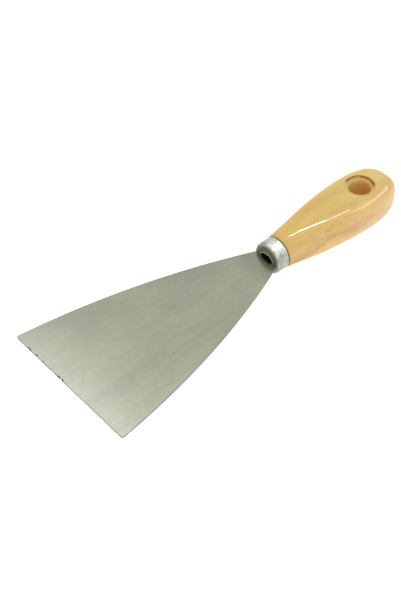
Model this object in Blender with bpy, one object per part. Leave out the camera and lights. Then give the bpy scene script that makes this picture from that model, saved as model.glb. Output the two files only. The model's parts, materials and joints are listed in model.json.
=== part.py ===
"""A stripping knife: a stiff fan-shaped blade, a plated ferrule and a varnished wooden handle with a hanging hole.

The knife is drawn straight along +X, blade tip at x = 0 and blade at mid height, and a parent empty then lays it
down as it rests on a table: on the lower corner of its tip and on the belly of its handle. All sizes are in metres.
"""

import math

import bmesh
import bpy
import numpy as np
from mathutils import Vector

MM = 0.001

# Blade: one sheet with convex sides, and a narrower tang stamped from the same sheet.
BLADE_LENGTH = 117.2 * MM
BLADE_WIDTH = 75.0 * MM
BLADE_THICKNESS = 0.8 * MM
NECK_WIDTH = 14.2 * MM
SIDE_RADIUS = 424.0 * MM
TIP_CORNER_RADIUS = 1.0 * MM
NECK_CORNER_RADIUS = 0.6 * MM
TANG_WIDTH = 6.0 * MM
TANG_LENGTH = 33.0 * MM
TANG_POINT = 4.0 * MM
TANG_BARB_DEPTH = 0.6 * MM
TANG_BARB_PITCH = 5.0 * MM
TANG_BARBS = 4

# Clearance between pieces that touch on the real knife.
GAP = 0.3 * MM

# Ferrule: a drawn cap, closed in front except for the hole that the tang goes through.
FERRULE_FRONT = BLADE_LENGTH + GAP
FERRULE_LENGTH = 7.1 * MM
FERRULE_RADIUS = 8.2 * MM
FERRULE_WALL = 0.6 * MM
FERRULE_SHOULDER = 1.3 * MM
FERRULE_HOLE_RADIUS = 3.7 * MM
FERRULE_LIP = 0.25 * MM

# Handle: round behind the ferrule, widening to a flattened oval with two flats, and rounded off at its end.
SEAM_GROOVE = 0.4 * MM
HANDLE_START = FERRULE_FRONT + FERRULE_LENGTH + SEAM_GROOVE
HANDLE_LENGTH = 75.4 * MM
HANDLE_NECK_RADIUS = 8.4 * MM
HANDLE_EDGE = 0.4 * MM
HALF_WIDTH = 14.0 * MM
WIDEST_AT = 50.0 * MM
WIDTH_SLOPE_AT_NECK = 0.015
END_ROUNDNESS = 2.38
HALF_THICKNESS = 10.5 * MM
FLAT_HEIGHT = 10.2 * MM
FULL_THICKNESS_AT = 28.0 * MM
THICKNESS_SLOPE_AT_NECK = 0.25
END_ROUNDING_FROM = 58.5 * MM
END_EDGE_ROUNDNESS = 2.7
SQUARENESS = 3.0
SQUARE_FROM = 25.0 * MM

# Spigot under the ferrule, bore for the tang, and the hole for hanging the knife up, its edges rounded over.
SPIGOT_RADIUS = FERRULE_RADIUS - FERRULE_WALL - GAP
SPIGOT_START = FERRULE_FRONT + FERRULE_WALL + GAP
TANG_BORE_RADIUS = 4.5 * MM
TANG_BORE_END = 155.0 * MM
HANGING_HOLE_X = 179.4 * MM
HANGING_HOLE_RADIUS = 5.2 * MM
HOLE_RIM_RADIUS = 7.7 * MM
HOLE_EDGE_ROUNDING = 3.2 * MM

# Cement: the filling of the tang bore, set back behind the ferrule.
CEMENT_START = 127.0 * MM
CEMENT_END = TANG_BORE_END - GAP

# Facets.
ROUND_SEGMENTS = 48
SIDE_SEGMENTS = 24
BEND_SEGMENTS = 5
BLADE_CORNER_SEGMENTS = 3
HOLE_EDGE_SEGMENTS = 4
HANDLE_STATIONS = 30


def clear_scene():
    for obj in list(bpy.data.objects):
        bpy.data.objects.remove(obj, do_unlink=True)


def make_material(name, colour, roughness, metallic):
    material = bpy.data.materials.new(name)
    material.use_nodes = True
    shader = material.node_tree.nodes["Principled BSDF"]
    shader.inputs["Base Color"].default_value = (*colour, 1.0)
    shader.inputs["Roughness"].default_value = roughness
    shader.inputs["Metallic"].default_value = metallic
    return material


def add_object(name, mesh, parent, material=None):
    obj = bpy.data.objects.new(name, mesh)
    bpy.context.scene.collection.objects.link(obj)
    obj.parent = parent
    if material:
        mesh.materials.append(material)
    return obj


def mesh_from(name, vertices, faces, smooth_angle=None):
    mesh = bpy.data.meshes.new(name)
    mesh.from_pydata([tuple(v) for v in vertices], [], faces)
    bm = bmesh.new()
    bm.from_mesh(mesh)
    bmesh.ops.recalc_face_normals(bm, faces=bm.faces)
    bm.to_mesh(mesh)
    bm.free()
    if smooth_angle:
        mesh.shade_smooth()
        mesh.set_sharp_from_angle(angle=math.radians(smooth_angle))
    return mesh


def arc(centre, radius, start_deg, end_deg, segments):
    """Points on an arc, from the start angle to the end angle."""
    angles = np.radians(np.linspace(start_deg, end_deg, segments + 1))
    return [(centre[0] + radius * math.cos(a), centre[1] + radius * math.sin(a)) for a in angles]


def loft(name, rings, smooth_angle):
    """A closed body through rings of equal point counts, with a flat cap at each end."""
    count = len(rings[0])
    vertices = [point for ring in rings for point in ring]
    faces = [list(range(count))]
    for row in range(len(rings) - 1):
        for i in range(count):
            j = (i + 1) % count
            faces.append([row * count + i, row * count + j, (row + 1) * count + j, (row + 1) * count + i])
    last = (len(rings) - 1) * count
    faces.append([last + i for i in range(count)])
    return mesh_from(name, vertices, faces, smooth_angle)


def turned(name, profile, smooth_angle):
    """A ring turned round Z from a closed profile of (radius, z) points."""
    vertices = []
    for i in range(ROUND_SEGMENTS):
        angle = 2 * math.pi * i / ROUND_SEGMENTS
        vertices += [(r * math.cos(angle), r * math.sin(angle), z) for r, z in profile]
    count = len(profile)
    faces = []
    for i in range(ROUND_SEGMENTS):
        here, there = i * count, (i + 1) % ROUND_SEGMENTS * count
        for k in range(count):
            n = (k + 1) % count
            faces.append([here + k, here + n, there + n, there + k])
    return mesh_from(name, vertices, faces, smooth_angle)


def rod(name, radius, start, end):
    """A plain round bar along X."""
    rings = []
    for x in (start, end):
        rings.append([(x, y, z) for y, z in arc((0, 0), radius, 0, 360, ROUND_SEGMENTS)[:-1]])
    return loft(name, rings, 30)


def add_cutter(target, mesh):
    """Cuts a mesh, placed as the target is, out of the target."""
    cutter = add_object(mesh.name, mesh, target.parent)
    cutter.hide_render = True
    cutter.display_type = "WIRE"
    boolean = target.modifiers.new(mesh.name, "BOOLEAN")
    boolean.operation = "DIFFERENCE"
    boolean.solver = "EXACT"
    boolean.object = cutter


def blade_side():
    """One convex side of the fan, an arc from the tip corner to the neck, as (x, y) points."""
    tip = Vector((0, BLADE_WIDTH / 2))
    neck = Vector((BLADE_LENGTH, NECK_WIDTH / 2))
    chord = neck - tip
    to_centre = math.sqrt(SIDE_RADIUS**2 - (chord.length / 2) ** 2)
    centre = (tip + neck) / 2 + Vector((chord.y, -chord.x)).normalized() * to_centre
    start, end = (math.degrees(math.atan2(*(p - centre).yx)) for p in (tip, neck))
    return arc(centre, SIDE_RADIUS, start, end, SIDE_SEGMENTS)


def rounded(points, corner, radius):
    """The outline with the corner at this index replaced by an arc that is tangent to both of its sides."""
    here = Vector(points[corner])
    back = (Vector(points[corner - 1]) - here).normalized()
    ahead = (Vector(points[corner + 1]) - here).normalized()
    half = back.angle(ahead) / 2
    centre = here + (back + ahead).normalized() * radius / math.sin(half)
    feet = [here + side * radius / math.tan(half) - centre for side in (back, ahead)]
    turn = feet[0].angle_signed(feet[1])
    first = math.atan2(feet[0].y, feet[0].x)
    angles = [first - turn * i / BLADE_CORNER_SEGMENTS for i in range(BLADE_CORNER_SEGMENTS + 1)]
    bend = [(centre.x + radius * math.cos(a), centre.y + radius * math.sin(a)) for a in angles]
    return points[:corner] + bend + points[corner + 1 :]


def tang_side():
    """One side of the tang, with saw-like barbs that keep it from pulling out, as (x, y) points."""
    half = TANG_WIDTH / 2
    points = [(BLADE_LENGTH, half)]
    first = BLADE_LENGTH + TANG_LENGTH - TANG_POINT - TANG_BARBS * TANG_BARB_PITCH
    for i in range(TANG_BARBS):
        x = first + i * TANG_BARB_PITCH
        points += [(x, half), (x + TANG_BARB_DEPTH, half - TANG_BARB_DEPTH)]
    points.append((BLADE_LENGTH + TANG_LENGTH - TANG_POINT, half))
    points.append((BLADE_LENGTH + TANG_LENGTH, half / 3))
    return points


def blade_mesh():
    side = blade_side()
    half = [(0.0, 0.0)] + side + tang_side()
    half = rounded(half, len(side), NECK_CORNER_RADIUS)
    half = rounded(half, 1, TIP_CORNER_RADIUS)[1:]
    outline = half + [(x, -y) for x, y in reversed(half)]
    flat = [(x, y, -BLADE_THICKNESS / 2) for x, y in outline]
    raised = [(x, y, BLADE_THICKNESS / 2) for x, y in outline]
    return loft("blade", [flat, raised], 30)


def ferrule_profile():
    """The cap's wall as (radius, z) points, z measured backwards from its front face."""
    inner = FERRULE_RADIUS - FERRULE_WALL
    hole = FERRULE_HOLE_RADIUS
    outer_centre = (FERRULE_RADIUS - FERRULE_SHOULDER, FERRULE_SHOULDER)
    outer_bend = arc(outer_centre, FERRULE_SHOULDER, 0, -90, BEND_SEGMENTS)
    inner_radius = FERRULE_SHOULDER - FERRULE_WALL
    inner_bend = arc((inner - inner_radius, FERRULE_SHOULDER), inner_radius, -90, 0, BEND_SEGMENTS)
    lip = [(hole + FERRULE_LIP, 0.0), (hole, FERRULE_LIP), (hole, FERRULE_WALL)]
    rim = [(inner, FERRULE_LENGTH), (FERRULE_RADIUS, FERRULE_LENGTH)]
    return outer_bend + lip + inner_bend + rim


def hermite(u, start, slope, end, length):
    """A curve that leaves its start with a slope and reaches its end level."""
    rise = 3 * u**2 - 2 * u**3
    return start * (1 - rise) + slope * length * (u**3 - 2 * u**2 + u) + end * rise


def handle_half_width(s):
    """Half the handle's width, s behind its shoulder."""
    if s < WIDEST_AT:
        return hermite(s / WIDEST_AT, HANDLE_NECK_RADIUS, WIDTH_SLOPE_AT_NECK, HALF_WIDTH, WIDEST_AT)
    u = (s - WIDEST_AT) / (HANDLE_LENGTH - WIDEST_AT)
    return HALF_WIDTH * (1 - u**END_ROUNDNESS) ** (1 / END_ROUNDNESS)


def handle_half_thickness(s):
    """Half the handle's thickness before its two flats are cut, s behind its shoulder."""
    if s < FULL_THICKNESS_AT:
        u = s / FULL_THICKNESS_AT
        return hermite(u, HANDLE_NECK_RADIUS, THICKNESS_SLOPE_AT_NECK, HALF_THICKNESS, FULL_THICKNESS_AT)
    u = max(0.0, (s - END_ROUNDING_FROM) / (HANDLE_LENGTH - END_ROUNDING_FROM))
    return HALF_THICKNESS * (1 - u**END_EDGE_ROUNDNESS) ** (1 / END_EDGE_ROUNDNESS)


def handle_section(s, inset=0.0):
    """The handle's outline at s: a circle at the neck that turns into a squarer oval with two flats."""
    width = handle_half_width(s) - inset
    thickness = handle_half_thickness(s) - inset
    u = min(1.0, s / SQUARE_FROM)
    power = 2 + (SQUARENESS - 2) * u * u * (3 - 2 * u)
    ring = []
    for i in range(ROUND_SEGMENTS):
        angle = 2 * math.pi * (i + 0.5) / ROUND_SEGMENTS
        c, v = math.cos(angle), math.sin(angle)
        y = math.copysign(width * abs(c) ** (2 / power), c)
        z = math.copysign(thickness * abs(v) ** (2 / power), v)
        ring.append((HANDLE_START + s, y, max(-FLAT_HEIGHT, min(FLAT_HEIGHT, z))))
    return ring


def spigot_ring(x):
    ring = []
    for i in range(ROUND_SEGMENTS):
        angle = 2 * math.pi * (i + 0.5) / ROUND_SEGMENTS
        ring.append((x, SPIGOT_RADIUS * math.cos(angle), SPIGOT_RADIUS * math.sin(angle)))
    return ring


def handle_stations():
    """Distances behind the shoulder, closer together towards the rounded end."""
    last = 0.997 * HANDLE_LENGTH
    spread = np.linspace(0, 1, HANDLE_STATIONS)
    return [HANDLE_EDGE + (last - HANDLE_EDGE) * (1 - (1 - u) ** 1.6) for u in spread]


def handle_mesh():
    shoulder = [(HANDLE_START, y, z) for _, y, z in handle_section(0.0, inset=HANDLE_EDGE)]
    rings = [spigot_ring(SPIGOT_START), spigot_ring(HANDLE_START), shoulder]
    rings += [handle_section(s) for s in handle_stations()]
    return loft("handle", rings, 40)


def hanging_hole_mesh():
    """The cutter of the hanging hole: a bore that opens in a rounded edge at each flat."""
    bend_radius = HANGING_HOLE_RADIUS + HOLE_EDGE_ROUNDING
    rim = math.acos((HOLE_RIM_RADIUS - bend_radius) / HOLE_EDGE_ROUNDING)
    bend_height = FLAT_HEIGHT - HOLE_EDGE_ROUNDING * math.sin(rim)
    bend = arc((bend_radius, bend_height), HOLE_EDGE_ROUNDING, 180, math.degrees(rim), HOLE_EDGE_SEGMENTS)
    overshoot = 2 * MM
    upper = bend + [(HOLE_RIM_RADIUS + 2 * overshoot, FLAT_HEIGHT + overshoot)]
    profile = [(radius, -z) for radius, z in reversed(upper)] + upper
    rings = []
    for radius, z in profile:
        circle = arc((HANGING_HOLE_X, 0), radius, 0, 360, ROUND_SEGMENTS)[:-1]
        rings.append([(x, y, z) for x, y in circle])
    return loft("hanging_hole_cutter", rings, 30)


def tang_slot_mesh():
    """The space that the tang takes up in the cement, with the gap round it."""
    half_width = TANG_WIDTH / 2 + GAP
    half_height = BLADE_THICKNESS / 2 + GAP
    end = BLADE_LENGTH + TANG_LENGTH + GAP
    signs = [(1, 1), (-1, 1), (-1, -1), (1, -1)]
    rings = [[(x, half_width * y, half_height * z) for y, z in signs] for x in (CEMENT_START - MM, end)]
    return loft("tang_slot_cutter", rings, 30)


def resting_tilt():
    """The angle between the blade and the table when the tip's lower edge and the handle's belly both touch it."""
    underside = [(HANDLE_START + s, min(handle_half_thickness(s), FLAT_HEIGHT)) for s in handle_stations()]
    return max(math.atan2(depth - BLADE_THICKNESS / 2, x) for x, depth in underside)


def lay_down(root, pieces):
    """Tilts the knife onto the table, with the middle of its bounding box's base at the world's origin."""
    root.rotation_euler = (0, -resting_tilt(), 0)
    bpy.context.view_layer.update()
    graph = bpy.context.evaluated_depsgraph_get()
    corners = []
    for piece in pieces:
        evaluated = piece.evaluated_get(graph)
        corners += [evaluated.matrix_world @ vertex.co for vertex in evaluated.data.vertices]
    low = Vector([min(corner[axis] for corner in corners) for axis in range(3)])
    high = Vector([max(corner[axis] for corner in corners) for axis in range(3)])
    middle = (low + high) / 2
    root.location = (-middle.x, -middle.y, -low.z)


def main():
    clear_scene()
    steel = make_material("blade_steel", (0.33, 0.34, 0.28), 0.38, 1.0)
    plating = make_material("ferrule_plating", (0.62, 0.63, 0.60), 0.25, 1.0)
    wood = make_material("varnished_wood", (0.70, 0.48, 0.20), 0.30, 0.0)
    resin = make_material("cement_resin", (0.20, 0.16, 0.11), 0.60, 0.0)

    root = bpy.data.objects.new("knife_at_rest", None)
    bpy.context.scene.collection.objects.link(root)

    blade = add_object("blade", blade_mesh(), root, steel)

    ferrule = add_object("ferrule", turned("ferrule", ferrule_profile(), 30), root, plating)
    ferrule.location = (FERRULE_FRONT, 0, 0)
    ferrule.rotation_euler = (0, math.radians(90), 0)

    handle = add_object("handle", handle_mesh(), root, wood)
    add_cutter(handle, rod("tang_bore_cutter", TANG_BORE_RADIUS, SPIGOT_START - MM, TANG_BORE_END))
    add_cutter(handle, hanging_hole_mesh())

    filling = rod("tang_cement", TANG_BORE_RADIUS - GAP, CEMENT_START, CEMENT_END)
    cement = add_object("tang_cement", filling, root, resin)
    add_cutter(cement, tang_slot_mesh())

    lay_down(root, [blade, ferrule, handle, cement])


main()
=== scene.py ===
import json
import math

import bpy
import numpy as np
from mathutils import Matrix, Vector


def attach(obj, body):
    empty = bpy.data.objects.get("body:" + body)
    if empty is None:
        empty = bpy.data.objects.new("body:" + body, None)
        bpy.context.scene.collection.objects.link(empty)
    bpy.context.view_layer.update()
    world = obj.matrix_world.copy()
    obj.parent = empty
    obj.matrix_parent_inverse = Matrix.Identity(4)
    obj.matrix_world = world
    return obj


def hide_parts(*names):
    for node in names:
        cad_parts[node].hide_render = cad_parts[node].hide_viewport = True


# The looks of a stripping knife: ground steel blade, dull plated ferrule and varnished wooden handle.
# Every piece is drawn in the knife's own axes: millimetres, +X from the blade's tip along the handle's axis,
# z = 0 in the blade's middle plane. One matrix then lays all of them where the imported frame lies. Lengths are
# in millimetres unless they belong to the camera, the lights or the floor, which are in metres.

MM = 0.001

# Clearance between the blade and the ferrule, and width of the groove between the ferrule and the handle.
CLEARANCE = 0.3
SEAM_GROOVE = 0.4

# Blade. The CAD's faceted tip corners stop a little short of the blade's half width.
BLADE_SIDE_RADIUS = 424.0
BLADE_SIDE_SEGMENTS = 240
BLADE_NECK_HALF = 7.1
BLADE_TIP_SHORTFALL = 0.04
BLADE_TIP_CORNER = 1.0
# The tip corner's arc: how far its centre lies in from the side, in radii, and the angle at which it ends.
TIP_CORNER_INSET = 1.22
TIP_CORNER_END = 108
# The side's arc starts this far behind the corner's, and anything nearer the tip than ON_TIP is its worn edge.
CORNER_TO_SIDE = 0.2
ON_TIP = 0.02
BLADE_EDGE_BEVEL = 0.09
BLADE_SHARP_FROM = 25
TANG_HALF = 3.0
TANG_SHOULDER = 0.6
TANG_POINT_LENGTH = 4.0
TANG_POINT_HALF = 1.0
TIP_STEP = 0.25
TIP_WEAR = 0.03
# Small nicks in the tip's edge: distance from the middle, width, depth.
NICKS = [
    (28.3, 1.3, 0.24), (22.6, 1.0, 0.20), (11.4, 1.4, 0.22), (5.1, 1.8, 0.28), (-21.0, 0.8, 0.07),
]
# Dark stains on the tip's edge: distance from the middle and width.
TIP_STAINS = [(27.5, 3.0), (22.3, 1.8), (17.5, 0.7), (6.0, 2.6), (3.6, 1.4)]

# Ferrule.
FERRULE_WALL = 0.6
FERRULE_SHOULDER = 1.7
FERRULE_HOLE = 3.7
FERRULE_LIP = 0.28
FERRULE_LIP_HEIGHT = 0.18
FERRULE_LIP_ZONE = 2.2
FERRULE_BACK_ROUNDING = 0.2
FERRULE_INNER_BEND = 1.1
# How far the vertices on the cap's face and on its side keep clear of the bends at their two ends.
FERRULE_FACE_MARGINS = (0.15, 0.3)
FERRULE_SIDE_MARGINS = (0.2, 0.32)
FERRULE_SEGMENTS = 224
FERRULE_SHARP_FROM = 40
# Depths of the flats, the dents and the finest unevenness of the cap's outside, and how much lower than wide
# its hole is, on each side.
FLAT_DEPTH = 0.03
DENT_DEPTH = 0.02
FINE_DEPTH = 0.006
HOLE_FLATTENING = 0.9

# Handle, measured from its shoulder behind the ferrule.
NECK_RADIUS = 8.4
HALF_WIDTH = 14.0
WIDEST_AT = 50.0
WIDTH_SLOPE_AT_NECK = 0.015
END_ROUNDNESS = 2.38
HALF_THICKNESS = 10.5
FLAT_HEIGHT = 10.2
FULL_THICKNESS_AT = 28.0
THICKNESS_SLOPE_AT_NECK = 0.25
END_ROUNDING_FROM = 58.5
END_EDGE_ROUNDNESS = 2.7
HANDLE_LENGTH = 75.4
SQUARENESS = 3.0
SQUARE_FROM = 25.0
SPIGOT_RADIUS = 7.3
TANG_BORE_RADIUS = 4.5
TANG_BORE_END = 155.0
HOLE_RADIUS = 5.2
HOLE_RIM_RADIUS = 7.7
HOLE_EDGE_ROUNDING = 3.2
FLAT_ROUNDING = 0.25
NECK_ROUNDING = 1.0
END_FACE_ROUNDING = 0.6
HOLE_ROUNDING = 0.2
SPIGOT_OVERLAP = 3.0
# Share of the rounded end's length at which its width stops shrinking, so that it never reaches zero.
LAST_OF_END = 0.9995
# Radius of the brown ring round the hanging hole.
BROWN_RING_RADIUS = 7.05
# The handle's mesh: size of its cells, an offset that keeps their planes off the flats, halvings of each
# crossed edge, and rounds that move its vertices on to the surface.
HANDLE_PITCH = 0.36
HANDLE_GRID_OFFSET = 0.11
HALVINGS = 10
SNAP_ROUNDS = 3

# Camera: the bearing it looks along, from +X towards +Y, how far down it looks and its roll, in degrees.
CAMERA_HEADING = 45.226
CAMERA_DOWN = 43.773
CAMERA_ROLL = -4.719
CAMERA_DISTANCE = 0.59786
CAMERA_LENS = 77.448
CAMERA_AIM = (-0.0194, 0.004615, 0.0)

# Lights, which only reflections show: name, bearing and elevation, size, power, colour, turn about the beam.
LIGHT_DISTANCE = 1.3
LIGHTS = [
    ("strip", -8, 72, (0.055, 0.43), 11.0, (1.0, 0.99, 0.97), 0),
    ("strip_end", -14, 61, (0.04, 0.09), 0.5, (1.0, 0.97, 0.93), 0),
    ("side_softbox", -24, 40, (0.75, 0.32), 4.5, (1.0, 0.93, 0.88), -39),
]

# Studio: the world's colour at the horizon and above the height where it stops changing, and the floor.
HORIZON = (0.78, 0.79, 0.78, 1.0)
OVERHEAD = (1.05, 1.05, 1.035, 1.0)
OVERHEAD_FROM = 0.45
FLOOR_HALF = 3.0
FLOOR_CORNER = 0.6
FLOOR_LEVEL = -0.0001

# Sockets of the colour Mix node, which go by number because their names repeat.
MIX_FACTOR, MIX_A, MIX_B, MIX_RESULT = 0, 6, 7, 2

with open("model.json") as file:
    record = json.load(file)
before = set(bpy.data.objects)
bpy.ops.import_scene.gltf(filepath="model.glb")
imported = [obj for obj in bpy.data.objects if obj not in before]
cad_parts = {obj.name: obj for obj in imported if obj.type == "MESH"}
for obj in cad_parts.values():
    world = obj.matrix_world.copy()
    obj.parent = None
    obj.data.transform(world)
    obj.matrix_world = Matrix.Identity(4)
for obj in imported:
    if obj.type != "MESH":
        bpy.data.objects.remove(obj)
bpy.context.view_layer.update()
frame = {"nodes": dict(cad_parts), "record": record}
record = frame["record"]


def knife_frame():
    """The matrix from the knife's own axes to the row frame, both in metres."""
    flat = next(m for m in record["mounts"] if m["name"] == "handle_top_flat")
    up = Vector(flat["axis"]).normalized()
    side = Vector((0, 1, 0))
    along = side.cross(up)
    axes = Matrix((along, side, up)).transposed()
    blade = np.array([v.co for v in frame["nodes"]["blade"].data.vertices])
    local = blade @ np.array(axes)
    middle = (local.min(0) + local.max(0)) / 2
    start = axes @ Vector((local[:, 0].min(), middle[1], middle[2]))
    return Matrix.Translation(start) @ axes.to_4x4()


KNIFE = knife_frame()


def measured(node):
    """Lowest and highest corner of a CAD node in the knife's own axes, in millimetres."""
    points = np.array([v.co for v in frame["nodes"][node].data.vertices])
    inverse = np.array(KNIFE.inverted())
    local = (points @ inverse[:3, :3].T + inverse[:3, 3]) / MM
    return local.min(0), local.max(0)


BLADE_HIGH = measured("blade")[1]
FERRULE_LOW, FERRULE_HIGH = measured("ferrule")
HANDLE_LOW, HANDLE_HIGH = measured("handle")
BLADE_END = FERRULE_LOW[0] - CLEARANCE
HANDLE_START = FERRULE_HIGH[0] + SEAM_GROOVE


def hole_position():
    """Where the hanging hole's axis crosses the knife's axis, from the opening in the record."""
    low, high = record["physics"]["openings"][0]["box_m"]
    centre = KNIFE.inverted() @ ((Vector(low) + Vector(high)) / 2)
    return centre.x / MM


HOLE_X = hole_position()


# ---------------------------------------------------------------- meshes


def add_piece(name, vertices, faces, material, node, normals=None):
    """A piece drawn in millimetres in the knife's own axes, which stands for a CAD node."""
    lay = np.array(KNIFE)
    mesh = bpy.data.meshes.new(name)
    mesh.from_pydata((vertices * MM @ lay[:3, :3].T + lay[:3, 3]).tolist(), [], faces)
    mesh.update()
    mesh.shade_smooth()
    if normals is not None:
        mesh.normals_split_custom_set_from_vertices((normals @ lay[:3, :3].T).tolist())
    mesh.materials.append(material)
    piece = bpy.data.objects.new(name, mesh)
    bpy.context.scene.collection.objects.link(piece)
    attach(piece, "root")
    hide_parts(node)
    return piece


def arc(centre, radius, start, end, segments):
    """Points along an arc from one angle to another, in degrees."""
    angles = np.radians(np.linspace(start, end, segments + 1))
    return np.stack([centre[0] + radius * np.cos(angles), centre[1] + radius * np.sin(angles)], -1)


def nick_depth(y):
    """How far the tip's edge is worn back at each y."""
    depth = TIP_WEAR * np.sin(y * 0.9 + 1.0) * np.sin(y * 0.37) + TIP_WEAR
    for at, width, deep in NICKS:
        depth = depth + deep * np.exp(-((np.abs(y - at) / (width / 2)) ** 3))
    return depth


def blade_outline():
    """The blade and its tang, seen from above, counter-clockwise."""
    half = BLADE_HIGH[1] + BLADE_TIP_SHORTFALL
    tip, neck = np.array([0.0, half]), np.array([BLADE_END, BLADE_NECK_HALF])
    chord = neck - tip
    length = np.linalg.norm(chord)
    inward = np.array([chord[1], -chord[0]]) / length
    centre = (tip + neck) / 2 + inward * math.sqrt(BLADE_SIDE_RADIUS**2 - (length / 2) ** 2)
    first = math.degrees(math.atan2(tip[1] - centre[1], tip[0] - centre[0]))
    last = math.degrees(math.atan2(neck[1] - centre[1], neck[0] - centre[0]))
    side = arc(centre, BLADE_SIDE_RADIUS, first, last, BLADE_SIDE_SEGMENTS)

    r = BLADE_TIP_CORNER
    corner = arc((r, half - r * TIP_CORNER_INSET), r, 180, TIP_CORNER_END, 10)
    corner = corner[corner[:, 1] < half]
    side = side[side[:, 0] > corner[-1, 0] + CORNER_TO_SIDE]
    tang_end = BLADE_HIGH[0]
    tang = np.array([
        [BLADE_END, TANG_HALF + TANG_SHOULDER], [BLADE_END + CLEARANCE, TANG_HALF],
        [tang_end - TANG_POINT_LENGTH, TANG_HALF], [tang_end, TANG_POINT_HALF],
    ])
    edge_y = np.arange(0.0, corner[0, 1], TIP_STEP)
    edge = np.stack([np.zeros_like(edge_y), edge_y], -1)
    upper = np.concatenate([edge, corner, side, tang])
    lower = upper[1:][::-1] * [1, -1]
    outline = np.concatenate([upper, lower])[::-1]
    on_tip = outline[:, 0] < ON_TIP
    outline[on_tip, 0] += nick_depth(outline[on_tip, 1])
    return outline


def inset(outline, distance):
    """The outline moved inwards, for an outline that runs counter-clockwise."""
    ahead = np.roll(outline, -1, 0) - outline
    ahead /= np.linalg.norm(ahead, axis=1)[:, None]
    behind = np.roll(ahead, 1, 0)
    inward = np.stack([-(ahead + behind)[:, 1], (ahead + behind)[:, 0]], -1)
    inward /= np.linalg.norm(inward, axis=1)[:, None]
    return outline + inward * distance


def add_blade(material):
    outline = blade_outline()
    inner = inset(outline, BLADE_EDGE_BEVEL)
    half = BLADE_HIGH[2]
    edge = half - BLADE_EDGE_BEVEL
    levels = [(inner, -half), (outline, -edge), (outline, edge), (inner, half)]
    vertices = np.concatenate([np.c_[ring, np.full(len(ring), z)] for ring, z in levels])
    n = len(outline)
    faces = [list(range(n))[::-1], [3 * n + i for i in range(n)]]
    for row in range(3):
        for i in range(n):
            j = (i + 1) % n
            faces.append([row * n + i, row * n + j, (row + 1) * n + j, (row + 1) * n + i])
    blade = add_piece("blade_sheet", vertices, faces, material, "blade")
    blade.data.set_sharp_from_angle(angle=math.radians(BLADE_SHARP_FROM))


def ferrule_profile():
    """The cap's wall as a closed ring of (radius, x) points, from the lip of its hole."""
    front, back = FERRULE_LOW[0], FERRULE_HIGH[0]
    outer = FERRULE_HIGH[2]
    bend = FERRULE_SHOULDER
    inner = outer - FERRULE_WALL
    lip = arc((FERRULE_HOLE + FERRULE_LIP, front), FERRULE_LIP, 180, 360, 16)
    lip[:, 1] = front + (lip[:, 1] - front) * FERRULE_LIP_HEIGHT / FERRULE_LIP
    by_lip, by_bend = FERRULE_FACE_MARGINS
    face_radii = np.linspace(FERRULE_HOLE + 2 * FERRULE_LIP + by_lip, outer - bend - by_bend, 5)
    by_bend, by_back = FERRULE_SIDE_MARGINS
    side_x = np.linspace(front + bend + by_bend, back - by_back, 26)
    edge, turn = FERRULE_BACK_ROUNDING, FERRULE_INNER_BEND
    return np.concatenate([
        lip,
        np.stack([face_radii, np.full(len(face_radii), front)], -1),
        arc((outer - bend, front + bend), bend, 270, 360, 24),
        np.stack([np.full(len(side_x), outer), side_x], -1),
        arc((outer - edge, back - edge), edge, 0, 90, 5),
        np.array([[inner, back]]),
        arc((inner - turn, front + bend), turn, 0, -90, 8),
        np.array([[FERRULE_HOLE, front + FERRULE_WALL]]),
    ])


def ferrule_dents(x, angle):
    """How far the thin cap's outside is pushed in: long shallow flats and a few small dents."""
    flats = FLAT_DEPTH * (1 + np.sin(3 * angle + 0.7)) * (0.5 + 0.5 * np.sin(1.1 * x))
    dents = DENT_DEPTH * (1 + np.sin(7 * angle + 2.1 * np.sin(0.9 * x)))
    fine = FINE_DEPTH * (1 + np.sin(19 * angle + 1.7 * x + 2.0 * np.sin(2.3 * x)))
    return flats + dents + fine


def lip_wander(angle):
    """How far the torn edge of the cap's hole, a little flattened, strays outwards."""
    flattened = HOLE_FLATTENING * math.sin(angle) ** 2
    return 0.15 * (1 + math.sin(3 * angle + 1.0)) + 0.1 * math.sin(7 * angle) - flattened


def add_ferrule(material):
    profile = ferrule_profile()
    radius, x = profile.T
    on_outside = np.clip((radius - (FERRULE_HIGH[2] - FERRULE_WALL)) / FERRULE_WALL, 0, 1) ** 2
    near_lip = np.clip((FERRULE_HOLE + FERRULE_LIP_ZONE - radius) / FERRULE_LIP_ZONE, 0, 1)
    vertices = []
    for i in range(FERRULE_SEGMENTS):
        angle = 2 * math.pi * i / FERRULE_SEGMENTS
        dented = radius - on_outside * ferrule_dents(x - FERRULE_LOW[0], angle)
        dented = dented + near_lip * lip_wander(angle)
        vertices.append(np.stack([x, dented * math.cos(angle), dented * math.sin(angle)], -1))
    vertices = np.concatenate(vertices)
    count = len(profile)
    faces = []
    for i in range(FERRULE_SEGMENTS):
        here, there = i * count, (i + 1) % FERRULE_SEGMENTS * count
        for k in range(count):
            n = (k + 1) % count
            faces.append([here + k, there + k, there + n, here + n])
    ferrule = add_piece("ferrule_cap", vertices, faces, material, "ferrule")
    ferrule.data.set_sharp_from_angle(angle=math.radians(FERRULE_SHARP_FROM))


def hermite(u, start, slope, end, length):
    """A curve that leaves its start with a slope and reaches its end level."""
    rise = 3 * u**2 - 2 * u**3
    return start * (1 - rise) + slope * length * (u**3 - 2 * u**2 + u) + end * rise


def half_width(s):
    """The handle's half width at a distance from its shoulder."""
    u = np.clip(s / WIDEST_AT, 0, 1)
    v = np.clip((s - WIDEST_AT) / (HANDLE_LENGTH - WIDEST_AT), 0, LAST_OF_END)
    growing = hermite(u, NECK_RADIUS, WIDTH_SLOPE_AT_NECK, HALF_WIDTH, WIDEST_AT)
    return growing * (1 - v**END_ROUNDNESS) ** (1 / END_ROUNDNESS)


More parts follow.
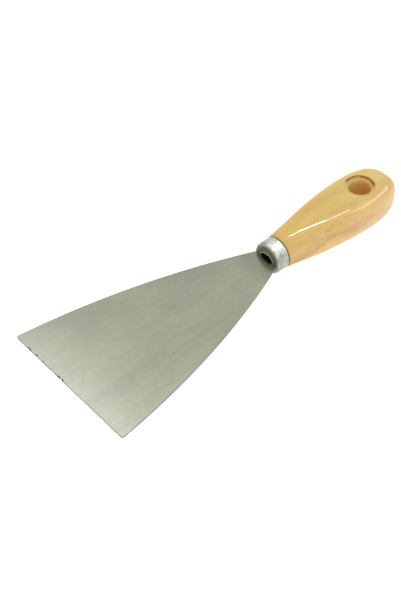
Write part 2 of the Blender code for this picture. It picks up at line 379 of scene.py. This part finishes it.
def half_thickness(s):
    """The handle's half thickness at a distance from its shoulder, before its flats are cut."""
    u = np.clip(s / FULL_THICKNESS_AT, 0, 1)
    v = np.clip((s - END_ROUNDING_FROM) / (HANDLE_LENGTH - END_ROUNDING_FROM), 0, LAST_OF_END)
    growing = hermite(u, NECK_RADIUS, THICKNESS_SLOPE_AT_NECK, HALF_THICKNESS, FULL_THICKNESS_AT)
    return growing * (1 - v**END_EDGE_ROUNDNESS) ** (1 / END_EDGE_ROUNDNESS)


def both(a, b, radius):
    """The solid inside both a and b, with its new edge rounded."""
    return np.maximum(a, b) + np.maximum(radius - np.abs(a - b), 0) ** 2 / (4 * radius)


def handle_field(points):
    """Below zero inside the handle, in millimetres or nearly so."""
    x, y, z = points[..., 0], points[..., 1], points[..., 2]
    s = x - HANDLE_START
    width, thickness = half_width(s), half_thickness(s)
    u = np.clip(s / SQUARE_FROM, 0, 1)
    power = 2 + (SQUARENESS - 2) * u * u * (3 - 2 * u)
    across, up = np.abs(y) / width, np.abs(z) / thickness
    total = np.maximum((across**power + up**power) ** (1 / power), 1e-6)
    slope = np.hypot(across ** (power - 1) / width, up ** (power - 1) / thickness) / total ** (power - 1)
    body = (total - 1) / np.maximum(slope, 1e-3)
    body = both(body, np.abs(z) - FLAT_HEIGHT, FLAT_ROUNDING)
    body = both(body, -s, NECK_ROUNDING)
    body = both(body, x - HANDLE_HIGH[0], END_FACE_ROUNDING)

    from_axis = np.hypot(y, z)
    spigot = np.maximum(from_axis - SPIGOT_RADIUS, np.maximum(HANDLE_LOW[0] - x, s - SPIGOT_OVERLAP))
    bore = np.maximum(from_axis - TANG_BORE_RADIUS, x - TANG_BORE_END)
    solid = np.maximum(np.minimum(body, spigot), -bore)

    from_hole = np.hypot(x - HOLE_X, y)
    bend_radius = HOLE_RADIUS + HOLE_EDGE_ROUNDING
    rim_height = math.sqrt(HOLE_EDGE_ROUNDING**2 - (bend_radius - HOLE_RIM_RADIUS) ** 2)
    above_bend = np.maximum(np.abs(z) - (FLAT_HEIGHT - rim_height), 0)
    hole = HOLE_EDGE_ROUNDING - np.hypot(np.minimum(from_hole - bend_radius, 0), above_bend)
    hole = np.maximum(hole, from_hole - bend_radius)
    return both(solid, -hole, HOLE_ROUNDING)


def gradient(field, points, step):
    """The field's slope along each axis at each point."""
    parts = []
    for axis in range(3):
        offset = np.zeros(3)
        offset[axis] = step
        parts.append((field(points + offset) - field(points - offset)) / (2 * step))
    return np.stack(parts, -1)


def surface_net(field, low, high, pitch):
    """A closed quad mesh of the surface where the field is zero, with one vertex in each cell it crosses."""
    counts = np.ceil((high - low) / pitch).astype(int) + 1
    axes = [low[k] + pitch * np.arange(counts[k]) for k in range(3)]
    values = field(np.stack(np.meshgrid(*axes, indexing="ij"), -1))
    inside = values < 0
    cells = counts - 1
    total = np.zeros((cells.prod(), 3))
    hits = np.zeros(cells.prod())
    quads = []
    for axis in range(3):
        step = np.eye(3, dtype=int)[axis]
        across = np.eye(3, dtype=int)[(axis + 1) % 3]
        up = np.eye(3, dtype=int)[(axis + 2) % 3]
        near = inside[: counts[0] - step[0], : counts[1] - step[1], : counts[2] - step[2]]
        far = inside[step[0] :, step[1] :, step[2] :]
        node = np.argwhere(near != far)
        start, end = low + pitch * node, low + pitch * (node + step)
        outward = inside[tuple(node.T)]
        for _ in range(HALVINGS):
            middle = (start + end) / 2
            same = (field(middle) < 0) == outward
            start = np.where(same[:, None], middle, start)
            end = np.where(same[:, None], end, middle)
        crossing = (start + end) / 2
        around = [node - across - up, node - up, node, node - across]
        flat = [np.ravel_multi_index(tuple(c.T), tuple(cells)) for c in around]
        for index in flat:
            np.add.at(total, index, crossing)
            np.add.at(hits, index, 1)
        quad = np.stack(flat, -1)
        quad[~outward] = quad[~outward][:, ::-1]
        quads.append(quad)
    used = np.flatnonzero(hits)
    numbers = np.zeros(len(hits), int)
    numbers[used] = np.arange(len(used))
    vertices = total[used] / hits[used][:, None]
    return vertices, numbers[np.concatenate(quads)]


def add_handle(material):
    margin = 3 * HANDLE_PITCH
    low = np.array([HANDLE_LOW[0], -HALF_WIDTH, -FLAT_HEIGHT]) - margin - HANDLE_GRID_OFFSET
    high = np.array([HANDLE_HIGH[0], HALF_WIDTH, FLAT_HEIGHT]) + margin
    vertices, quads = surface_net(handle_field, low, high, HANDLE_PITCH)
    for _ in range(SNAP_ROUNDS):
        slope = gradient(handle_field, vertices, 0.01)
        move = handle_field(vertices)[:, None] * slope / np.maximum((slope**2).sum(1), 0.05)[:, None]
        vertices = vertices - np.clip(move, -HANDLE_PITCH / 3, HANDLE_PITCH / 3)
    slope = gradient(handle_field, vertices, 0.02)
    normals = slope / np.linalg.norm(slope, axis=1)[:, None]
    add_piece("handle_wood", vertices, quads.tolist(), material, "handle", normals)


# ---------------------------------------------------------------- materials


class Nodes:
    """A short way to wire a material's nodes."""

    def __init__(self, name):
        self.material = bpy.data.materials.new(name)
        self.material.use_nodes = True
        self.tree = self.material.node_tree
        self.shader = self.tree.nodes["Principled BSDF"]

    def put(self, socket, value):
        if isinstance(value, bpy.types.NodeSocket):
            self.tree.links.new(value, socket)
        elif value is not None:
            socket.default_value = value

    def add(self, kind, output=0, inputs=None, **settings):
        node = self.tree.nodes.new(kind)
        for key, value in settings.items():
            setattr(node, key, value)
        for key, value in (inputs or {}).items():
            self.put(node.inputs[key], value)
        return node.outputs[output]

    def math(self, operation, a, b=None, c=None, clamp=False):
        inputs = {0: a, 1: b, 2: c}
        return self.add("ShaderNodeMath", inputs=inputs, operation=operation, use_clamp=clamp)

    def millimetres(self):
        """Position in the knife's own axes, in millimetres, as a vector."""
        inputs = {
            "Vector": self.add("ShaderNodeTexCoord", "Object"), "Location": KNIFE.translation,
            "Rotation": KNIFE.to_euler(), "Scale": (MM, MM, MM),
        }
        return self.add("ShaderNodeMapping", inputs=inputs, vector_type="TEXTURE")

    def split(self, vector):
        node = self.tree.nodes.new("ShaderNodeSeparateXYZ")
        self.put(node.inputs[0], vector)
        return node.outputs

    def stretched(self, vector, scale, offset=(0, 0, 0)):
        inputs = {0: vector, 1: scale, 2: offset}
        return self.add("ShaderNodeVectorMath", inputs=inputs, operation="MULTIPLY_ADD")

    def noise(self, vector, detail, roughness):
        inputs = {"Vector": vector, "Scale": 1.0, "Detail": detail, "Roughness": roughness}
        return self.add("ShaderNodeTexNoise", "Fac", inputs)

    def distance(self, a, b):
        """The length of (a, b)."""
        return self.math("SQRT", self.math("ADD", self.math("POWER", a, 2.0), self.math("POWER", b, 2.0)))

    def ramp(self, value, low, high, to_low=0.0, to_high=1.0):
        """A smooth step from one value to another while the input goes from low to high."""
        inputs = {"Value": value, "From Min": low, "From Max": high, "To Min": to_low, "To Max": to_high}
        return self.add("ShaderNodeMapRange", "Result", inputs, interpolation_type="SMOOTHSTEP", clamp=True)

    def mix(self, factor, a, b, blend="MIX"):
        node = self.tree.nodes.new("ShaderNodeMix")
        node.data_type = "RGBA"
        node.blend_type = blend
        self.put(node.inputs[MIX_FACTOR], factor)
        self.put(node.inputs[MIX_A], a)
        self.put(node.inputs[MIX_B], b)
        return node.outputs[MIX_RESULT]

    def bump(self, height, distance, strength=1.0, normal=None):
        """Height in millimetres times distance."""
        inputs = {"Height": height, "Distance": distance * MM, "Strength": strength, "Normal": normal}
        return self.add("ShaderNodeBump", "Normal", inputs)

    def finish(self, **values):
        """Set or wire the shader's sockets by name, with _ for a space."""
        for key, value in values.items():
            self.put(self.shader.inputs[key.replace("_", " ")], value)
        return self.material


def rgb(red, green, blue):
    """A linear colour from one written in sRGB, 0 to 255."""
    linear = []
    for value in (red, green, blue):
        value = value / 255
        linear.append(value / 12.92 if value <= 0.04045 else ((value + 0.055) / 1.055) ** 2.4)
    return (*linear, 1.0)


def blade_material():
    n = Nodes("blade_steel")
    place = n.millimetres()
    x, y, z = n.split(place)
    streaks = n.noise(n.stretched(place, (0.035, 1.9, 1.0)), 4.0, 0.6)
    fine = n.noise(n.stretched(place, (0.12, 7.0, 1.0), (11.0, 3.0, 0.0)), 3.0, 0.6)
    cloud = n.noise(n.stretched(place, (0.03, 0.045, 1.0), (3.0, 7.0, 0.0)), 3.0, 0.5)
    mottle = n.noise(n.stretched(place, (0.45, 0.6, 1.0), (8.0, 2.0, 0.0)), 3.0, 0.6)
    # Painted reflection: the steel is painted lighter towards the tip and darker towards the ferrule, with a
    # little random cloud in it.
    from_tip = n.math("MULTIPLY_ADD", y, 0.1, x)
    painted_shine = n.math("EXPONENT", n.math("DIVIDE", from_tip, -20.0))
    painted_shine = n.math("ADD", painted_shine, n.ramp(cloud, 0.3, 0.7, -0.05, 0.05), clamp=True)
    tone = n.mix(painted_shine, rgb(141, 142, 127), rgb(180, 182, 168))
    streaks_and_painted_shade = n.ramp(streaks, 0.25, 0.75, 0.975, 1.025)
    streaks_and_painted_shade = n.math("ADD", streaks_and_painted_shade, n.ramp(fine, 0.25, 0.75, -0.015, 0.015))
    streaks_and_painted_shade = n.math("ADD", streaks_and_painted_shade, n.ramp(mottle, 0.3, 0.7, -0.03, 0.03))
    # Painted shade: the steel is painted darker towards its -Y side.
    streaks_and_painted_shade = n.math("MULTIPLY", streaks_and_painted_shade, n.ramp(y, -28.0, 0.0, 0.93, 1.0))
    # Painted shade and light along the neck: darker from 50 to 80 mm, lighter from 92 to 106 mm where the
    # smoother steel reflects less of the lights.
    neck = n.math("MULTIPLY", n.ramp(x, 50.0, 80.0, 1.0, 0.9), n.ramp(x, 92.0, 106.0, 1.0, 1.12))
    streaks_and_painted_shade = n.math("MULTIPLY", streaks_and_painted_shade, neck)
    grey = n.add("ShaderNodeCombineColor", inputs={0: streaks_and_painted_shade, 1: streaks_and_painted_shade, 2: streaks_and_painted_shade})
    colour = n.mix(1.0, tone, grey, "MULTIPLY")
    face = BLADE_HIGH[2]
    cut_edge = n.ramp(n.math("ABSOLUTE", z), face - BLADE_EDGE_BEVEL, face - 0.02, 1.0, 0.0)
    colour = n.mix(cut_edge, colour, rgb(98, 98, 84))
    dark_marks = 0.0
    for at, width in TIP_STAINS:
        away = n.math("ABSOLUTE", n.math("SUBTRACT", y, at))
        dark_marks = n.math("MAXIMUM", dark_marks, n.ramp(away, 0.2 * width, 0.5 * width, 1.0, 0.0))
    ragged = n.math("MULTIPLY_ADD", mottle, -0.9, x)
    dark_marks = n.math("MULTIPLY", dark_marks, n.ramp(ragged, -0.1, 0.35, 1.0, 0.0))
    colour = n.mix(dark_marks, colour, rgb(62, 56, 42))
    rolled = n.ramp(n.math("ADD", x, n.ramp(streaks, 0.0, 1.0, -3.0, 3.0)), 98.0, 113.0)
    rough = n.ramp(streaks, 0.3, 0.7, 0.38, 0.42)
    rough = n.math("ADD", rough, n.ramp(cloud, 0.3, 0.7, -0.02, 0.02))
    rough = n.math("MULTIPLY", rough, n.math("MULTIPLY_ADD", rolled, -0.38, 1.0))
    normal = n.bump(fine, 0.01, 0.3, n.bump(streaks, 0.015, 0.2))
    return n.finish(Base_Color=colour, Metallic=1.0, Roughness=rough, Normal=normal)


def ferrule_material():
    n = Nodes("ferrule_plating")
    place = n.millimetres()
    x, y, z = n.split(place)
    angle = n.math("ARCTAN2", y, z)
    around = {0: n.math("MULTIPLY", x, 0.25), 1: n.math("MULTIPLY", angle, 9.0)}
    drawn = n.noise(n.add("ShaderNodeCombineXYZ", inputs=around), 4.0, 0.65)
    smudge = n.noise(n.stretched(place, (0.35, 0.35, 0.35)), 3.0, 0.55)
    pits = n.noise(n.stretched(place, (2.2, 2.2, 2.2)), 2.0, 0.6)
    colour = n.mix(n.ramp(smudge, 0.35, 0.65), rgb(152, 155, 146), rgb(186, 189, 180))
    colour = n.mix(n.ramp(drawn, 0.56, 0.72, 0.0, 0.25), colour, rgb(148, 150, 140))
    # Painted reflection and shade: the cap's front face is painted dark olive, for the dark blade it reflects.
    face = n.ramp(x, FERRULE_LOW[0] + 0.05, FERRULE_LOW[0] + 0.55, 0.9, 0.0)
    colour = n.mix(face, colour, rgb(136, 134, 112))
    # Painted highlight: the raised lip round the cap's hole is painted lighter.
    raised = n.ramp(x, FERRULE_LOW[0] - 0.1, FERRULE_LOW[0] - 0.03, 1.0, 0.0)
    lip = n.math("MULTIPLY", raised, n.ramp(n.distance(y, z), 5.4, 4.6))
    colour = n.mix(lip, colour, rgb(186, 186, 174))
    rough = n.ramp(smudge, 0.3, 0.7, 0.52, 0.6)
    rough = n.math("ADD", rough, n.ramp(pits, 0.3, 0.7, -0.02, 0.04))
    normal = n.bump(pits, 0.05, 0.3, n.bump(drawn, 0.08, 0.5))
    return n.finish(Base_Color=colour, Metallic=1.0, Roughness=rough, Normal=normal)


def wood_material():
    n = Nodes("varnished_wood")
    place = n.millimetres()
    x, y, z = n.split(place)
    bend = n.noise(n.stretched(place, (0.012, 0.05, 0.05)), 2.0, 0.5)
    ring = n.math("ADD", n.math("MULTIPLY", z, 0.42), n.math("MULTIPLY", y, 0.13))
    ring = n.math("ADD", ring, n.math("MULTIPLY", bend, 9.0))
    ring = n.math("ADD", ring, n.math("MULTIPLY", x, 0.006))
    rings = n.math("SINE", n.math("MULTIPLY", ring, 1.6))
    fibre = n.noise(n.stretched(place, (0.07, 2.4, 2.4)), 4.0, 0.6)
    cloud = n.noise(n.stretched(place, (0.04, 0.12, 0.12), (2.0, 5.0, 1.0)), 3.0, 0.55)
    dash = n.noise(n.stretched(place, (0.55, 4.2, 4.2), (9.0, 1.0, 4.0)), 1.0, 0.5)
    # Painted shade: the sides are painted darker and more orange than the top, to offset the bright floor's
    # light on them.
    on_top = n.ramp(n.math("ABSOLUTE", z), 5.2, 9.6)
    side = rgb(180, 139, 76)
    top = rgb(214, 179, 92)
    top = n.mix(n.ramp(x, 148.0, 176.0), top, rgb(213, 187, 106))
    # Painted highlight: towards the rear the sides are painted paler and pinker, for a soft glow of light.
    side = n.mix(n.ramp(x, 150.0, 182.0), side, rgb(204, 168, 122))
    colour = n.mix(on_top, side, top)
    colour = n.mix(n.ramp(rings, -0.2, 1.0, 0.0, 0.34), colour, rgb(202, 154, 86))
    colour = n.mix(n.ramp(cloud, 0.4, 0.62, 0.0, 0.5), colour, rgb(226, 194, 122))
    colour = n.mix(n.ramp(fibre, 0.48, 0.72, 0.0, 0.36), colour, rgb(190, 140, 76))
    colour = n.mix(n.ramp(dash, 0.62, 0.70, 0.0, 0.42), colour, rgb(172, 118, 60))

    behind_hole = n.math("SUBTRACT", x, HOLE_X)
    from_hole = n.distance(behind_hole, y)
    # Painted light: the hanging hole's wall is painted pale yellow with an orange patch, paler than the wood,
    # standing in for the light its shade takes away.
    in_bore = n.ramp(from_hole, HOLE_RADIUS + 1.5, HOLE_RADIUS + 0.3)
    across_bore = n.math("SUBTRACT", n.math("MULTIPLY", x, 0.3), y)
    bore_patch = n.ramp(n.math("MULTIPLY_ADD", fibre, 7.0, across_bore), 51.0, 59.0)
    painted_light_bore_tone = n.mix(bore_patch, rgb(218, 192, 116), rgb(214, 148, 74))
    colour = n.mix(n.math("MULTIPLY", in_bore, 0.85), colour, painted_light_bore_tone)
    # A patchy brown ring round the hole's rim, strongest on its far side, towards +X and +Y.
    from_rim = n.math("ABSOLUTE", n.math("SUBTRACT", from_hole, BROWN_RING_RADIUS))
    rim = n.math("SUBTRACT", 1.0, n.ramp(from_rim, 0.55, 0.85))
    patches = n.noise(n.stretched(place, (0.3, 0.3, 0.3), (1.0, 8.0, 3.0)), 2.0, 0.5)
    patchy = n.ramp(patches, 0.3, 0.6, 0.6, 1.0)
    far = n.math("ADD", n.math("MULTIPLY", behind_hole, 0.72), n.math("MULTIPLY", y, 0.5))
    dark_marks = n.math("MULTIPLY", n.math("MULTIPLY", rim, patchy), n.ramp(far, -1.5, 3.0))
    colour = n.mix(dark_marks, colour, rgb(146, 92, 18))
    # Painted shade: the wood in the groove under the ferrule's back edge is painted dark brown.
    painted_shade_under_ferrule = n.ramp(x, HANDLE_START + 0.35, HANDLE_START - 0.1)
    colour = n.mix(painted_shade_under_ferrule, colour, rgb(72, 38, 16))
    # Painted shade: the spigot's front deep inside the ferrule, seen through its hole, is painted nearly black.
    colour = n.mix(n.ramp(x, HANDLE_LOW[0] + 4.0, HANDLE_LOW[0] + 2.0), colour, rgb(24, 18, 12))

    rough = n.ramp(fibre, 0.3, 0.7, 0.42, 0.55)
    normal = n.bump(fibre, 0.03, 0.3)
    peel = n.noise(n.stretched(place, (0.22, 0.30, 0.30), (4.0, 4.0, 4.0)), 2.0, 0.5)
    coat_normal = n.bump(peel, 0.06, 0.4)
    coat = n.math("MULTIPLY_ADD", rim, -0.62, 0.65)
    # The gloss fades towards the outline, which would otherwise turn as white as the floor.
    facing = n.add("ShaderNodeLayerWeight", "Facing", {"Blend": 0.5})
    grazing = n.ramp(facing, 0.45, 0.9)
    coat = n.math("MULTIPLY", coat, n.math("MULTIPLY_ADD", grazing, -0.85, 1.0))
    gloss = n.math("MULTIPLY_ADD", grazing, -0.13, 0.15)
    return n.finish(
        Base_Color=colour, Roughness=rough, Normal=normal, Specular_IOR_Level=gloss,
        Coat_Weight=coat, Coat_Roughness=0.05, Coat_IOR=1.5, Coat_Normal=coat_normal,
    )


def cement_material():
    n = Nodes("tang_cement")
    place = n.millimetres()
    grit = n.noise(n.stretched(place, (1.4, 1.4, 1.4)), 5.0, 0.65)
    patch = n.noise(n.stretched(place, (0.25, 0.25, 0.25), (2.0, 2.0, 2.0)), 3.0, 0.5)
    colour = n.mix(n.ramp(grit, 0.3, 0.7), rgb(74, 64, 50), rgb(112, 98, 76))
    colour = n.mix(n.ramp(patch, 0.4, 0.7, 0.0, 0.6), colour, rgb(60, 46, 34))
    rough = n.ramp(patch, 0.3, 0.7, 0.55, 0.8)
    return n.finish(Base_Color=colour, Roughness=rough, Normal=n.bump(grit, 0.2, 0.6))


def floor_material():
    n = Nodes("pale_floor")
    place = n.add("ShaderNodeTexCoord", "Object")
    fine = n.noise(n.stretched(place, (9.0, 9.0, 9.0)), 3.0, 0.5)
    colour = n.mix(fine, rgb(229, 229, 228), rgb(233, 233, 232))
    return n.finish(
        Base_Color=colour, Roughness=0.9, Specular_IOR_Level=0.0,
        Emission_Color=(1.0, 1.0, 1.0, 1.0), Emission_Strength=0.68,
    )


# ---------------------------------------------------------------- stage


def add_floor(material):
    """A wide plain floor with rounded corners."""
    middle = FLOOR_HALF - FLOOR_CORNER
    outline = []
    for k, (sx, sy) in enumerate([(1, 1), (-1, 1), (-1, -1), (1, -1)]):
        outline.append(arc((sx * middle, sy * middle), FLOOR_CORNER, 90 * k, 90 * k + 90, 12))
    outline = np.concatenate(outline)
    mesh = bpy.data.meshes.new("floor")
    mesh.from_pydata(np.c_[outline, np.zeros(len(outline))].tolist(), [], [list(range(len(outline)))])
    mesh.materials.append(material)
    floor = bpy.data.objects.new("floor", mesh)
    floor.location = (0, 0, FLOOR_LEVEL)
    bpy.context.scene.collection.objects.link(floor)


def direction(bearing, elevation):
    """The unit vector at a bearing and an elevation, in degrees."""
    a, e = math.radians(bearing), math.radians(elevation)
    return Vector((math.cos(a) * math.cos(e), math.sin(a) * math.cos(e), math.sin(e)))


def add_area_light(name, bearing, elevation, size, power, colour, turn):
    """A rectangular light that looks at the middle of the floor and shows in reflections only."""
    light = bpy.data.lights.new(name, "AREA")
    light.shape = "RECTANGLE"
    light.size, light.size_y = size
    light.energy = power
    light.color = colour
    lamp = bpy.data.objects.new(name, light)
    towards = direction(bearing, elevation)
    aim = towards.to_track_quat("Z", "Y").to_matrix().to_4x4()
    spin = Matrix.Rotation(math.radians(turn), 4, "Z")
    lamp.matrix_world = Matrix.Translation(towards * LIGHT_DISTANCE) @ aim @ spin
    lamp.visible_diffuse = False
    bpy.context.scene.collection.objects.link(lamp)


def add_world():
    """A plain soft studio: white overhead and a little darker towards the horizon."""
    world = bpy.data.worlds.new("studio")
    world.use_nodes = True
    tree = world.node_tree
    height = tree.nodes.new("ShaderNodeSeparateXYZ")
    tree.links.new(tree.nodes.new("ShaderNodeTexCoord").outputs["Generated"], height.inputs[0])
    ramp = tree.nodes.new("ShaderNodeValToRGB")
    ramp.color_ramp.elements[0].color = HORIZON
    ramp.color_ramp.elements[1].position = OVERHEAD_FROM
    ramp.color_ramp.elements[1].color = OVERHEAD
    tree.links.new(height.outputs["Z"], ramp.inputs["Fac"])
    tree.links.new(ramp.outputs["Color"], tree.nodes["Background"].inputs["Color"])
    bpy.context.scene.world = world


def add_camera():
    """The scene's camera, aimed by the bearing, slope and roll above."""
    forward = direction(CAMERA_HEADING, -CAMERA_DOWN)
    level = Vector((forward.y, -forward.x, 0)).normalized()
    down = forward.cross(level)
    turn = math.radians(CAMERA_ROLL)
    right = math.cos(turn) * level + math.sin(turn) * down
    down = math.cos(turn) * down - math.sin(turn) * level
    camera = bpy.data.cameras.new("camera")
    camera.lens = CAMERA_LENS
    camera.sensor_width = 36.0
    camera.clip_start = 0.01
    holder = bpy.data.objects.new("camera", camera)
    axes = Matrix((right, -down, -forward)).transposed().to_4x4()
    holder.matrix_world = Matrix.Translation(Vector(CAMERA_AIM) - forward * CAMERA_DISTANCE) @ axes
    bpy.context.scene.collection.objects.link(holder)
    bpy.context.scene.camera = holder


add_blade(blade_material())
add_ferrule(ferrule_material())
add_handle(wood_material())
cement = frame["nodes"]["tang_cement"]
cement.data.materials.clear()
cement.data.materials.append(cement_material())

add_floor(floor_material())
add_world()
for light in LIGHTS:
    add_area_light(*light)
add_camera()
bpy.context.scene.view_settings.view_transform = "Standard"
